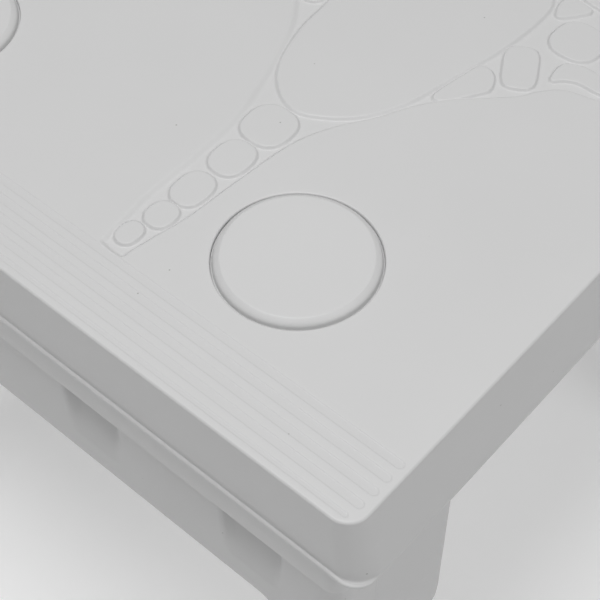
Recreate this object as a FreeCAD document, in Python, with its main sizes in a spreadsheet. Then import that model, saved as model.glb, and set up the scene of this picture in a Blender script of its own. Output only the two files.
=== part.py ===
import FreeCAD, Part
import math
import os
import Sketcher

# Shower stool, millimetres. Frame: +Z up, origin on the floor under the middle of the seat,
# X along the front edge (the edge with the tread strip), Y from front to back.
#
# A hollow blow-moulded seat deck stands on two hollow blow-moulded leg frames, front and rear.
# Each frame is an upside-down U: an apron between two legs. An ear behind each leg carries a
# round boss that plugs into the underside of the deck. A bolt goes down through a well in the
# deck into a nut that is caught in the ear, and a round press-in cap closes the well.

FreeCAD.newDocument("shower_stool")
doc = FreeCAD.ActiveDocument
sheet = doc.addObject("Spreadsheet::Sheet", "Sizes")

SIZES = [
    ("seat_height", 380.0),       # floor to the top of the deck
    # deck
    ("deck_length", 400.0),       # top face, along X
    ("deck_depth", 404.0),        # top face, along Y
    ("deck_corner", 10.0),        # corner radius in plan
    ("flare_side", 8.5),          # how far the lip stands out at the left and right
    ("flare_front", 3.0),         # the same at the front and rear
    ("lip_drop", 39.0),           # top face down to the lip at the parting line
    ("band_drop", 62.0),          # top face down to the underside
    ("band_inset_side", 3.5),     # band inside the top face's edge, left and right
    ("deck_edge_round", 2.0),
    ("deck_wall", 3.0),
    ("deck_top_wall", 4.5),       # thicker, because the tread pattern is sunk into it
    # tread strip along the front edge
    ("tread_pitch", 7.35),
    ("tread_margin", 5.2),        # front edge to the first groove
    ("tread_end", 7.0),           # side edge to the end of the grooves
    ("tread_groove", 1.2),        # width of a groove
    ("tread_sink", 0.8),          # depth of a groove
    # wells, caps and fixings
    ("well_side", 93.1),          # side edge of the top face to the well's axis
    ("well_front", 79.8),         # front edge of the top face to the well's axis
    ("well_radius", 31.2),
    ("cap_ledge", 3.8),           # width of the ledge that the cap's edge rests on
    ("cap_seat_depth", 6.5),
    ("well_depth", 44.0),
    ("well_floor", 4.0),          # thickness of the well's floor
    ("cap_gap", 0.5),             # round the cap's edge
    ("cap_proud", 2.6),           # cap's top above the deck
    ("cap_round", 3.8),
    ("cap_wall", 3.0),
    ("skirt_gap", 0.3),
    ("skirt_wall", 2.5),
    ("skirt_length", 11.0),
    ("bolt_radius", 3.95),
    ("bolt_tip", 5.2),            # bolt below the nut
    ("bolt_hole_gap", 0.55),
    ("head_radius", 7.0),
    ("head_thick", 5.5),
    ("drive_flats", 5.0),         # hexagon socket in the bolt's head, across flats
    ("drive_depth", 3.0),
    ("washer_radius", 12.0),
    ("washer_thick", 2.0),
    ("nut_flats", 13.0),
    ("nut_thick", 6.5),
    ("nut_gap", 0.2),
    ("nut_drop", 8.3),            # deck's underside down to the nut's upper face
    # tack-off dimples that tie the deck's two walls together
    ("tack_radius", 11.0),
    ("tack_pitch", 62.0),
    # leg frames
    ("frame_inset_side", 5.5),    # frame inside the top face's edge, left and right
    ("frame_inset_front", 5.5),   # the same at the front and rear
    ("frame_wall", 3.0),
    ("frame_corner", 8.0),
    ("apron_drop", 64.0),
    ("apron_thick", 46.0),
    ("leg_width", 32.0),
    ("ankle_width", 30.0),
    ("leg_round", 12.0),          # inner corner between apron and leg
    ("knee_depth", 72.5),
    ("knee_drop", 115.0),
    ("knee_round", 15.0),
    ("shin_depth", 46.0),         # leg just under the knee, front to back
    ("shin_drop", 143.0),         # deck's underside down to where the slope ends
    ("ankle_depth", 40.0),
    ("scoop_width", 31.0),
    ("scoop_side", 49.1),         # side of the frame to the middle of the outer scoops
    ("scoop_inner", 52.3),        # middle of the stool to the inner scoops
    ("scoop_top", 5.0),           # deck's underside down to the scoop's top
    ("scoop_drop", 43.0),         # deck's underside down to the scoop's bottom
    ("scoop_sink", 20.0),
    ("ear_margin", 1.0),          # ear outside the boss
    ("ear_thick", 32.0),
    ("boss_gap", 0.5),
    ("boss_step", 2.2),           # boss inside the well's bore
    # feet
    ("foot_base", 6.0),
    ("foot_height", 22.0),
    ("foot_wall", 3.0),
    ("foot_gap", 0.3),
    ("foot_round", 6.0),
    ("ankle_straight", 4.0),      # straight stretch of leg above the foot's rim
    ("sole_groove", 2.0),
    ("sole_sink", 1.5),
]

for row, (alias, size) in enumerate(SIZES, start=1):
    sheet.set("A%d" % row, alias)
    sheet.set("B%d" % row, str(size))
    sheet.setAlias("B%d" % row, alias)
doc.recompute()


def bound(text):
    """An expression in which every size's alias is looked up in the sheet."""
    words = []
    for word in text.replace("(", "( ").replace(")", " )").split():
        words.append("Sizes." + word if word in ALIASES else word)
    return " ".join(words)


ALIASES = {alias for alias, size in SIZES}

# Heights and places that several pieces share, each in terms of the driving sizes.
UNDERSIDE = "( seat_height - band_drop )"
LIP = "( seat_height - lip_drop )"
WELL_FLOOR = "( seat_height - well_depth )"
CAP_SEAT = "( well_radius + cap_ledge )"
BOSS = "( well_radius - boss_step )"
WELL_X = "( deck_length / 2 - well_side )"
WELL_Y = "( deck_depth / 2 - well_front )"
FRAME_X = "( deck_length / 2 - frame_inset_side )"
FRAME_Y = "( deck_depth / 2 - frame_inset_front )"
NUT_TOP = "( seat_height - band_drop - nut_drop )"


def number(text):
    return float(sheet.evalExpression(bound(text)))


def bind(target, prop, text):
    target.setExpression(prop, bound(text))


def new_body(label):
    body = doc.addObject("PartDesign::Body", label)
    body.Label = label
    return body


def new_sketch(body, plane, lift):
    """A sketch on one of the body's own origin planes, moved along the plane's normal."""
    sketch = body.newObject("Sketcher::SketchObject", body.Name + "_sketch")
    support = [item for item in body.Origin.OriginFeatures if item.Role == plane][0]
    sketch.AttachmentSupport = (support, "")
    sketch.MapMode = "FlatFace"
    bind(sketch, "AttachmentOffset.Base.z", lift)
    return sketch


def pin_point(sketch, geometry, point, across, up):
    """Hold one point of a sketch at (across, up), both written as expressions."""
    for kind, text in (("DistanceX", across), ("DistanceY", up)):
        size = number(text)
        if abs(size) < 1e-9:
            axis = -2 if kind == "DistanceX" else -1
            sketch.addConstraint(Sketcher.Constraint("PointOnObject", geometry, point, axis))
            continue
        if size > 0:
            ends = (-1, 1, geometry, point)
            text_up = text
        else:
            ends = (geometry, point, -1, 1)
            text_up = "-1 * ( " + text + " )"
        index = sketch.addConstraint(Sketcher.Constraint(kind, *ends, abs(size)))
        bind(sketch, "Constraints[%d]" % index, text_up)


def add_outline(sketch, corners):
    """A closed outline of straight lines through corners given as pairs of expressions."""
    points = [FreeCAD.Vector(number(across), number(up), 0) for across, up in corners]
    first = sketch.GeometryCount
    count = len(points)
    for i in range(count):
        sketch.addGeometry(Part.LineSegment(points[i], points[(i + 1) % count]))
    for i in range(count):
        following = first + (i + 1) % count
        sketch.addConstraint(Sketcher.Constraint("Coincident", first + i, 2, following, 1))
    for i, (across, up) in enumerate(corners):
        pin_point(sketch, first + i, 1, across, up)


def add_circle(sketch, across, up, radius):
    centre = FreeCAD.Vector(number(across), number(up), 0)
    axis = FreeCAD.Vector(0, 0, 1)
    index = sketch.addGeometry(Part.Circle(centre, axis, number(radius)))
    pin_point(sketch, index, 3, across, up)
    size = sketch.addConstraint(Sketcher.Constraint("Radius", index, number(radius)))
    bind(sketch, "Constraints[%d]" % size, radius)


def rectangle(low_x, high_x, low_y, high_y):
    return [(low_x, low_y), (high_x, low_y), (high_x, high_y), (low_x, high_y)]


def centred(half_x, half_y):
    return rectangle("-1 * ( %s )" % half_x, half_x, "-1 * ( %s )" % half_y, half_y)


def pad(body, sketch, length, reverse=False):
    feature = body.newObject("PartDesign::Pad", body.Name + "_pad")
    feature.Profile = sketch
    feature.Reversed = reverse
    bind(feature, "Length", length)
    doc.recompute()
    return feature


def pocket(body, sketch, length, reverse=False):
    """Cut a sketch away, and make sure that it took something."""
    before = body.Shape.Volume
    feature = body.newObject("PartDesign::Pocket", body.Name + "_pocket")
    feature.Profile = sketch
    feature.Reversed = reverse
    bind(feature, "Length", length)
    doc.recompute()
    if not body.Shape.Volume < before - 1e-3:
        raise ValueError("a pocket cuts nothing in " + body.Label)
    return feature


def round_edges(body, radius, wanted):
    """Fillet each edge of the body for which wanted(middle, direction) is true."""
    base = body.Tip
    names = []
    for i, edge in enumerate(base.Shape.Edges, start=1):
        if edge.Curve.TypeId != "Part::GeomLine":
            continue
        middle = edge.valueAt((edge.FirstParameter + edge.LastParameter) / 2)
        if wanted(middle, edge.tangentAt(edge.FirstParameter)):
            names.append("Edge%d" % i)
    feature = body.newObject("PartDesign::Fillet", body.Name + "_round")
    feature.Base = (base, names)
    bind(feature, "Radius", radius)
    doc.recompute()
    return feature


def revolve(body, sketch):
    feature = body.newObject("PartDesign::Revolution", body.Name + "_turn")
    feature.Profile = sketch
    feature.ReferenceAxis = (sketch, ["V_Axis"])
    feature.Angle = 360
    doc.recompute()
    return feature


def place(item, x, y, z="0", turn=0):
    """Set a sub-part's Placement; turn is in degrees about +Z."""
    bind(item, "Placement.Base.x", x)
    bind(item, "Placement.Base.y", y)
    bind(item, "Placement.Base.z", z)
    item.Placement.Rotation = FreeCAD.Rotation(FreeCAD.Vector(0, 0, 1), turn)


def upright(middle, direction):
    return abs(direction.z) > 0.9


CORNERS = [
    ("front_left", -1, -1),
    ("front_right", 1, -1),
    ("rear_left", -1, 1),
    ("rear_right", 1, 1),
]


def signed(sign, text):
    return text if sign > 0 else "-1 * " + text


# ---- seat deck -------------------------------------------------------------------------------

def make_deck():
    body = new_body("seat_deck")
    # upper half: from the lip up to the top face, drawn in on all sides
    lip = new_sketch(body, "XY_Plane", LIP)
    add_outline(lip, centred("deck_length / 2 + flare_side", "deck_depth / 2 + flare_front"))
    top = new_sketch(body, "XY_Plane", "seat_height")
    add_outline(top, centred("deck_length / 2", "deck_depth / 2"))
    loft = body.newObject("PartDesign::AdditiveLoft", "seat_deck_loft")
    loft.Profile = lip
    loft.Sections = [top]
    loft.Ruled = True
    doc.recompute()
    # lower half: the band under the lip
    band = new_sketch(body, "XY_Plane", UNDERSIDE)
    add_outline(band, centred("deck_length / 2 - band_inset_side", "deck_depth / 2"))
    pad(body, band, "band_drop - lip_drop + 0.01")
    round_edges(body, "deck_corner", lambda middle, way: abs(way.z) > 0.9)
    high = number("seat_height")
    round_edges(body, "deck_edge_round", lambda middle, way: middle.z > high - 0.01)

    # hollow between the two walls, with solid columns left round the wells
    hollow = new_sketch(body, "XY_Plane", "seat_height - deck_top_wall")
    add_outline(hollow, centred("deck_length / 2 - band_inset_side - deck_wall",
                                "deck_depth / 2 - deck_wall"))
    for name, side_x, side_y in CORNERS:
        add_circle(hollow, signed(side_x, WELL_X), signed(side_y, WELL_Y),
                   CAP_SEAT + " + deck_wall")
    pocket(body, hollow, "band_drop - deck_top_wall - deck_wall")

    # tack-offs: cones pressed up from the underside until they meet the upper wall
    posts = new_sketch(body, "XY_Plane", "%s + deck_wall" % UNDERSIDE)
    dimples = new_sketch(body, "XY_Plane", UNDERSIDE)
    for across in (-1, 0, 1):
        for along in (-2, -1, 0, 1, 2):
            x = "%d * tack_pitch" % across
            y = "%d * tack_pitch" % along
            if across != 0 and abs(along) == 2:
                continue
            add_circle(posts, x, y, "tack_radius + deck_wall")
            add_circle(dimples, x, y, "tack_radius")
    pad(body, posts, "band_drop - deck_top_wall - deck_wall")
    pocket(body, dimples, "band_drop - deck_top_wall - deck_wall", reverse=True)

    # wells: cap seat, bore, recess for the frame's boss, and the bolt's hole
    for radius, start, depth, up in (
            (CAP_SEAT, "seat_height", "cap_seat_depth", False),
            ("well_radius", "seat_height", "well_depth", False),
            (BOSS + " + boss_gap", UNDERSIDE, "band_drop - well_depth - well_floor", True),
            ("bolt_radius + bolt_hole_gap", "seat_height", "band_drop", False)):
        sketch = new_sketch(body, "XY_Plane", start)
        for name, side_x, side_y in CORNERS:
            add_circle(sketch, signed(side_x, WELL_X), signed(side_y, WELL_Y), radius)
        pocket(body, sketch, depth, reverse=up)

    # tread strip: one groove, repeated towards the back
    groove = new_sketch(body, "XY_Plane", "seat_height")
    for i in range(5):
        front = "-1 * deck_depth / 2 + tread_margin + %d * tread_pitch" % i
        add_outline(groove, rectangle("-1 * deck_length / 2 + tread_end",
                                      "deck_length / 2 - tread_end",
                                      front, front + " + tread_groove"))
    pocket(body, groove, "tread_sink")
    return body


# ---- leg frames ------------------------------------------------------------------------------

def frame_solid(label, skin):
    """The frame's outer form, or with skin set to the wall's thickness the hollow inside it."""
    body = new_body(label)
    high = "( %s - %s )" % (UNDERSIDE, skin)
    low = "( foot_base + %s )" % skin
    outer = "( %s - %s )" % (FRAME_X, skin)
    inner = "( %s - leg_width + %s )" % (FRAME_X, skin)
    ankle = "( %s - ankle_width + %s )" % (FRAME_X, skin)
    ankle_top = "( foot_height + ankle_straight )"
    apron = "( %s - apron_drop + %s )" % (UNDERSIDE, skin)
    front = "( %s - %s )" % (FRAME_Y, skin)

    # front view: apron and two legs
    half = [(outer, high), (outer, low), (ankle, low), (ankle, ankle_top), (inner, apron)]
    other = [("-1 * " + across, up) for across, up in reversed(half)]
    view = new_sketch(body, "XZ_Plane", front)
    add_outline(view, half + other)
    pad(body, view, "knee_depth - 2 * %s" % skin, reverse=True)
    near = 0.05
    inner_x = number(inner)
    apron_z = number(apron)
    round_edges(body, "leg_round + " + skin, lambda middle, way: (
        abs(way.y) > 0.9 and abs(abs(middle.x) - inner_x) < near
        and abs(middle.z - apron_z) < near))

    # side view: what is cut away behind the shin and under the knee
    knee = "( knee_depth - %s - %s )" % (FRAME_Y, skin)
    shin = "( shin_depth - %s - %s )" % (FRAME_Y, skin)
    heel = "( ankle_depth - %s - %s )" % (FRAME_Y, skin)
    side = new_sketch(body, "YZ_Plane", "deck_length / 2")
    add_outline(side, [
        (knee + " + 9", "%s - knee_drop + %s" % (UNDERSIDE, skin)),
        (knee, "%s - knee_drop + %s" % (UNDERSIDE, skin)),
        (shin, "%s - shin_drop + %s" % (UNDERSIDE, skin)),
        (heel, ankle_top),
        (heel, "foot_base - 9"),
        (knee + " + 9", "foot_base - 9"),
    ])
    pocket(body, side, "deck_length")

    # back of the apron, between the legs
    back = new_sketch(body, "XY_Plane", "seat_height")
    add_outline(back, rectangle("-1 * " + inner, inner,
                                "apron_thick - %s - %s" % (FRAME_Y, skin), knee + " + 9"))
    pocket(body, back, "seat_height")

    knee_edge = number(knee)
    outer_x = number(outer)
    front_y = -number(front)
    knee_z = number("%s - knee_drop + %s" % (UNDERSIDE, skin))
    round_edges(body, "knee_round - " + skin, lambda middle, way: (
        abs(way.x) > 0.9 and abs(middle.y - knee_edge) < near
        and abs(middle.z - knee_z) < near))
    round_edges(body, "frame_corner - " + skin, lambda middle, way: (
        abs(way.z) > 0.9 and abs(abs(middle.x) - outer_x) < near
        and abs(middle.y - front_y) < near))

    # ears behind the legs
    ears = new_sketch(body, "XY_Plane", high)
    for sign in (-1, 1):
        bolt_x = signed(sign, WELL_X)
        inward = "- %d * ( %s + ear_margin - %s )" % (sign, BOSS, skin)
        near_x = "%s %s" % (bolt_x, inward)
        far_x = "%d * ( %s + leg_width / 2 - %s )" % (sign, "( %s - leg_width )" % FRAME_X, skin)
        rear_y = "-1 * %s + %s + ear_margin - %s" % (WELL_Y, BOSS, skin)
        fore_y = "apron_thick - %s - 2 * frame_wall" % FRAME_Y
        slant_y = "knee_depth - %s - %s" % (FRAME_Y, skin)
        add_outline(ears, [(near_x, fore_y), (near_x, rear_y), (bolt_x, rear_y),
                           (far_x, slant_y), (far_x, fore_y)])
    pad(body, ears, "ear_thick - 2 * " + skin, reverse=True)
    return body


def cut_scoops(body, skin):
    """Rounded pockets in the apron's front; in the hollow they are larger by the wall."""
    sketch = new_sketch(body, "XZ_Plane", "%s - %s" % (FRAME_Y, skin))
    outer = "( %s - scoop_side )" % FRAME_X
    for middle in ("-1 * " + outer, "-1 * scoop_inner", "scoop_inner", outer):
        add_outline(sketch, rectangle("%s - scoop_width / 2 - %s" % (middle, skin),
                                      "%s + scoop_width / 2 + %s" % (middle, skin),
                                      "%s - scoop_drop - %s" % (UNDERSIDE, skin),
                                      "%s - scoop_top + %s" % (UNDERSIDE, skin)))
    pocket(body, sketch, "scoop_sink")


def make_frame(label, turn):
    outside = frame_solid(label + "_outside", "0")
    cut_scoops(outside, "0")
    # bosses that plug into the deck, bolt holes, and pockets that hold the nuts
    bosses = new_sketch(outside, "XY_Plane", UNDERSIDE)
    for sign in (-1, 1):
        add_circle(bosses, signed(sign, WELL_X), "-1 * " + WELL_Y, BOSS)
    pad(outside, bosses, "band_drop - well_depth - well_floor - boss_gap")
    holes = new_sketch(outside, "XY_Plane", "seat_height")
    for sign in (-1, 1):
        add_circle(holes, signed(sign, WELL_X), "-1 * " + WELL_Y, "bolt_radius + bolt_hole_gap")
    pocket(outside, holes, "band_drop + ear_thick")
    nests = new_sketch(outside, "XY_Plane", "%s - ear_thick" % UNDERSIDE)
    for sign in (-1, 1):
        corners = []
        for i in range(6):
            reach = "( nut_flats / 2 + nut_gap ) / cos( 30 )"
            corners.append((
                "%s + %s * cos( %d )" % (signed(sign, WELL_X), reach, 60 * i),
                "-1 * %s + %s * sin( %d )" % (WELL_Y, reach, 60 * i)))
        add_outline(nests, corners)
    pocket(outside, nests, "ear_thick - nut_drop", reverse=True)

    inside = frame_solid(label + "_inside", "frame_wall")
    cut_scoops(inside, "frame_wall")
    columns = new_sketch(inside, "XY_Plane", "seat_height")
    for sign in (-1, 1):
        add_circle(columns, signed(sign, WELL_X), "-1 * " + WELL_Y,
                   "nut_flats / 2 / cos( 30 ) + nut_gap + frame_wall")
    pocket(inside, columns, "band_drop + ear_thick")

    frame = doc.addObject("Part::Cut", label)
    frame.Base = outside
    frame.Tool = inside
    frame.Label = label
    place(frame, "0", "0", turn=turn)
    doc.recompute()
    return frame


# ---- caps, fixings and feet ------------------------------------------------------------------

def make_cap(label, side_x, side_y):
    """Press-in cap: a domed-edge disc on the cap seat, with a skirt inside the well."""
    body = new_body(label)
    profile = new_sketch(body, "XZ_Plane", "0")
    rim = CAP_SEAT + " - cap_gap"
    skirt = "well_radius - skirt_gap"
    seat = "-1 * cap_seat_depth - cap_proud"
    foot = seat + " - skirt_length"
    bore = skirt + " - skirt_wall"
    add_outline(profile, [("0", "0"), (rim, "0"), (rim, seat), (skirt, seat), (skirt, foot),
                          (bore, foot), (bore, "-1 * cap_wall"), ("0", "-1 * cap_wall")])
    turned = revolve(body, profile)
    names = ["Edge%d" % i for i, edge in enumerate(turned.Shape.Edges, start=1)
             if edge.BoundBox.ZMin > -1e-6 and edge.BoundBox.XLength > number(rim)]
    feature = body.newObject("PartDesign::Fillet", label + "_round")
    feature.Base = (turned, names)
    bind(feature, "Radius", "cap_round")
    place(body, signed(side_x, WELL_X), signed(side_y, WELL_Y), "seat_height + cap_proud")
    return body


def make_bolt(label, side_x, side_y):
    """Pan-head bolt with a hexagon socket, standing on the washer in the well."""
    body = new_body(label)
    tip = "%s - nut_thick - bolt_tip - %s - washer_thick" % (NUT_TOP, WELL_FLOOR)
    profile = new_sketch(body, "XZ_Plane", "0")
    add_outline(profile, [("0", "head_thick"), ("head_radius", "head_thick"),
                          ("head_radius", "0"), ("bolt_radius", "0"),
                          ("bolt_radius", tip), ("0", tip)])
    revolve(body, profile)
    drive = new_sketch(body, "XY_Plane", "head_thick")
    reach = "drive_flats / 2 / cos( 30 )"
    add_outline(drive, [("%s * cos( %d )" % (reach, 60 * i + 30),
                         "%s * sin( %d )" % (reach, 60 * i + 30)) for i in range(6)])
    pocket(body, drive, "drive_depth")
    place(body, signed(side_x, WELL_X), signed(side_y, WELL_Y), WELL_FLOOR + " + washer_thick")
    return body


def make_washer(label, side_x, side_y):
    disc = doc.addObject("Part::Cylinder", label + "_disc")
    bind(disc, "Radius", "washer_radius")
    bind(disc, "Height", "washer_thick")
    hole = doc.addObject("Part::Cylinder", label + "_hole")
    bind(hole, "Radius", "bolt_radius + bolt_hole_gap")
    bind(hole, "Height", "washer_thick")
    washer = doc.addObject("Part::Cut", label)
    washer.Base = disc
    washer.Tool = hole
    washer.Label = label
    place(washer, signed(side_x, WELL_X), signed(side_y, WELL_Y), WELL_FLOOR)
    return washer


def make_nut(label, side_x, side_y):
    prism = doc.addObject("Part::Prism", label + "_prism")
    prism.Polygon = 6
    bind(prism, "Circumradius", "nut_flats / 2 / cos( 30 )")
    bind(prism, "Height", "nut_thick")
    hole = doc.addObject("Part::Cylinder", label + "_hole")
    bind(hole, "Radius", "bolt_radius + 0.05")
    bind(hole, "Height", "nut_thick")
    nut = doc.addObject("Part::Cut", label)
    nut.Base = prism
    nut.Tool = hole
    nut.Label = label
    place(nut, signed(side_x, WELL_X), signed(side_y, WELL_Y), NUT_TOP + " - nut_thick")
    return nut


def make_foot(label, side_x, side_y):
    """Rubber cup pushed over the end of the leg, with grooves across its sole."""
    body = new_body(label)
    half_x = "ankle_width / 2 + foot_gap"
    half_y = "ankle_depth / 2 + foot_gap"
    cup = new_sketch(body, "XY_Plane", "0")
    add_outline(cup, centred(half_x + " + foot_wall", half_y + " + foot_wall"))
    pad(body, cup, "foot_height")
    round_edges(body, "foot_round", upright)
    mouth = new_sketch(body, "XY_Plane", "foot_height")
    add_outline(mouth, centred(half_x, half_y))
    pocket(body, mouth, "foot_height - foot_base")
    grooves = new_sketch(body, "XY_Plane", "0")
    for i in (-1, 0, 1):
        middle = "%d * 4 * sole_groove" % i
        add_outline(grooves, rectangle("-1 * ankle_width", "ankle_width",
                                       middle + " - sole_groove / 2",
                                       middle + " + sole_groove / 2"))
    pocket(body, grooves, "sole_sink", reverse=True)
    place(body, signed(side_x, "( %s - ankle_width / 2 )" % FRAME_X),
          signed(side_y, "( %s - ankle_depth / 2 )" % FRAME_Y))
    return body


sub_parts = [make_deck(), make_frame("front_leg_frame", 0), make_frame("rear_leg_frame", 180)]
MAKERS = [
    ("well_cap", make_cap),
    ("deck_bolt", make_bolt),
    ("bolt_washer", make_washer),
    ("bolt_nut", make_nut),
    ("foot", make_foot),
]
for stem, make in MAKERS:
    for corner, side_x, side_y in CORNERS:
        sub_parts.append(make(stem + "_" + corner, side_x, side_y))
doc.recompute()

# ---- check and write -------------------------------------------------------------------------

for item in doc.Objects:
    if "Invalid" in item.State or "Error" in item.State:
        raise ValueError("%s is %s" % (item.Label, item.State))
for item in sub_parts:
    shape = item.Shape
    if shape.isNull() or not shape.isValid() or len(shape.Solids) != 1:
        raise ValueError("bad shape: " + item.Label)

os.makedirs("parts", exist_ok=True)
for item in sub_parts:
    item.Shape.exportStep(os.path.join("parts", item.Label + ".step"))
    box = item.Shape.BoundBox
    print("%-28s %9.1f mm3  z %6.1f to %6.1f" % (item.Label, item.Shape.Volume, box.ZMin, box.ZMax))
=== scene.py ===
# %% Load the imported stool
import math
import bmesh
import bpy
import numpy as np
from mathutils import Matrix, Vector
from mathutils.geometry import delaunay_2d_cdt


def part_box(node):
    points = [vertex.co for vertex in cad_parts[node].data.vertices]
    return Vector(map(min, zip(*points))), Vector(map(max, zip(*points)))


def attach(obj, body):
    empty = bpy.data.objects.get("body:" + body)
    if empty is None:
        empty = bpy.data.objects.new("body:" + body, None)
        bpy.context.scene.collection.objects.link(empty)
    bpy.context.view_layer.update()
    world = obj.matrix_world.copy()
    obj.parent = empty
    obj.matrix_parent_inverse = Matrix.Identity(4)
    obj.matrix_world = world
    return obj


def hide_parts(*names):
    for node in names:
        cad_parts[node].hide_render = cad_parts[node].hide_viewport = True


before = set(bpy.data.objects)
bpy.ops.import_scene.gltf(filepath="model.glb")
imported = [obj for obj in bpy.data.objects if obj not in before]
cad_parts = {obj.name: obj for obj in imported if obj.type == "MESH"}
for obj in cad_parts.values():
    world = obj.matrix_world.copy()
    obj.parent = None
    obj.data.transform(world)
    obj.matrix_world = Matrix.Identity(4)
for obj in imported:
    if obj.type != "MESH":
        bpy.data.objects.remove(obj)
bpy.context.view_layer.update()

# %% [markdown]
# The stool is a hollow plastic seat on two hollow plastic leg frames, with round caps over its four bolts.
# The outer sizes and the places of caps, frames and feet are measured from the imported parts. Smaller features,
# such as walls, rounds, pockets and the stream, have sizes of their own here.
# Lengths are worked out in millimetres, as a drawing has them, and one function turns them to metres at the end.

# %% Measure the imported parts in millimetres
CORNERS = ["front_left", "front_right", "rear_left", "rear_right"]


def box_mm(node):
    """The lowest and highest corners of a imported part, as two rows of three numbers in millimetres."""
    return np.array([list(corner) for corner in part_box(node)]) * 1000.0


deck_low, deck_high = box_mm("seat_deck")
cap_box = {corner: box_mm("well_cap_" + corner) for corner in CORNERS}
cap_centre = {corner: box.mean(axis=0) for corner, box in cap_box.items()}
TOP = deck_high[2]
UNDERSIDE = deck_low[2]
print("seat top at", TOP, "underside at", UNDERSIDE)

# %% [markdown]
# The camera looks down on the front right corner of the seat from close by, with a long lens.
# Its place is given from the middle of the front right cap, in multiples of the cap seat's radius of 35 mm.
# A long lens keeps the far edge almost as large as the near one, which is why the stool looks so square.

# %% Camera
SEAT_RADIUS = 35.0
EYE_IN_SEAT_RADII = np.array([7.098, -8.052, 13.253])
LOOK_ALONG = Vector((-0.401, 0.457, -0.794))
TILT = math.radians(-0.42)
camera_data = bpy.data.cameras.new("studio_camera")
camera = bpy.data.objects.new("studio_camera", camera_data)
bpy.context.scene.collection.objects.link(camera)
camera_data.lens = 90.0
camera_data.sensor_width = 36.0
camera_data.clip_start = 0.01
eye = (cap_centre["front_right"] * [1, 1, 0] + [0, 0, TOP] + SEAT_RADIUS * EYE_IN_SEAT_RADII) / 1000.0
forward = LOOK_ALONG.normalized()
level = forward.cross(Vector((0, 0, 1))).normalized()
right = level * math.cos(TILT) + level.cross(forward) * math.sin(TILT)
upward = right.cross(forward)
turn = Matrix((right, upward, -forward)).transposed().to_4x4()
camera.matrix_world = Matrix.Translation(Vector(eye)) @ turn
bpy.context.scene.camera = camera
print("camera at", [round(v, 4) for v in eye])

# %% [markdown]
# The floor is one plain pale sheet, twelve metres square, which fills the whole view from the main camera.
# A view from near floor level still sees its far edge against the grey of the sky.
# A soft sky lights every side a little, and one broad lamp overhead makes the seat brighter than its sides,
# as a product studio does. Two weaker panels keep the front and the right side apart in tone.

# %% Floor and light
def plain(name, colour, roughness, glow):
    """A studio surface of one colour for the floor only, lit from behind a little as a light table is."""
    material = bpy.data.materials.new(name)
    material.use_nodes = True
    shader = material.node_tree.nodes["Principled BSDF"]
    shader.inputs["Base Color"].default_value = (*colour, 1.0)
    shader.inputs["Roughness"].default_value = roughness
    shader.inputs["Emission Color"].default_value = (1.0, 1.0, 1.0, 1.0)
    shader.inputs["Emission Strength"].default_value = glow
    return material


floor_mesh = bpy.data.meshes.new("floor")
REACH = 6.0
floor_mesh.from_pydata([(-REACH, -REACH, 0), (REACH, -REACH, 0), (REACH, REACH, 0), (-REACH, REACH, 0)], [],
                       [(0, 1, 2, 3)])
floor = bpy.data.objects.new("floor", floor_mesh)
bpy.context.scene.collection.objects.link(floor)
floor_mesh.materials.append(plain("pale_paper_sweep", (0.72, 0.72, 0.72), 0.9, 0.32))

world = bpy.data.worlds.new("studio_sky")
world.use_nodes = True
world.node_tree.nodes["Background"].inputs["Color"].default_value = (1.0, 1.0, 1.0, 1.0)
world.node_tree.nodes["Background"].inputs["Strength"].default_value = 0.2
bpy.context.scene.world = world
bpy.context.scene.view_settings.view_transform = "Standard"


def panel(name, place, width, power):
    """A square soft lamp of that width in metres at that place, aimed at the middle of the seat."""
    lamp = bpy.data.lights.new(name, "AREA")
    lamp.shape, lamp.size, lamp.energy = "SQUARE", width, power
    lamp_object = bpy.data.objects.new(name, lamp)
    bpy.context.scene.collection.objects.link(lamp_object)
    lamp_object.location = place
    aim = Vector((0.0, 0.0, TOP / 1000.0)) - Vector(place)
    lamp_object.rotation_euler = aim.to_track_quat("-Z", "Y").to_euler()


panel("overhead_softbox", (-0.05, -0.3, 2.4), 1.1, 32.0)
panel("front_panel", (-0.3, -1.7, 1.5), 1.0, 1.5)
panel("right_panel", (1.6, 0.1, 1.7), 1.0, 7.5)

# %% [markdown]
# Each plastic is one shader and a few patterns. A pattern reads Object coordinates, which are metres here,
# so its scale is one divided by the size of its grain in metres. One function adds a node, sets its sockets
# and joins its links, so a material reads as a list of what the surface is made of.

# %% Material helpers
def linear(code):
    """An sRGB hex colour such as C9C9C8 as linear red, green, blue and an alpha of one."""
    srgb = np.array([int(code[k:k + 2], 16) for k in (0, 2, 4)]) / 255.0
    bent = np.where(srgb <= 0.04045, srgb / 12.92, ((srgb + 0.055) / 1.055) ** 2.4)
    return (*bent.tolist(), 1.0)


def add(tree, kind, settings=None, links=None, **properties):
    """Adds one node, sets its properties and sockets by name or number, and links outputs into it."""
    node = tree.nodes.new(kind)
    for name, value in properties.items():
        setattr(node, name, value)
    for socket, value in (settings or {}).items():
        node.inputs[socket].default_value = value
    for socket, output in (links or {}).items():
        tree.links.new(output, node.inputs[socket])
    return node


def per_mm(size):
    """The scale of a pattern whose grain is that many millimetres, on coordinates in metres."""
    return 1000.0 / size


def new_material(name, colour, **sockets):
    """A material with one Principled shader of that hex colour. Returns the material, its tree and shader."""
    material = bpy.data.materials.new(name)
    material.use_nodes = True
    shader = material.node_tree.nodes["Principled BSDF"]
    shader.inputs["Base Color"].default_value = linear(colour)
    for socket, value in sockets.items():
        shader.inputs[socket.replace("_", " ")].default_value = value
    return material, material.node_tree, shader


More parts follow.
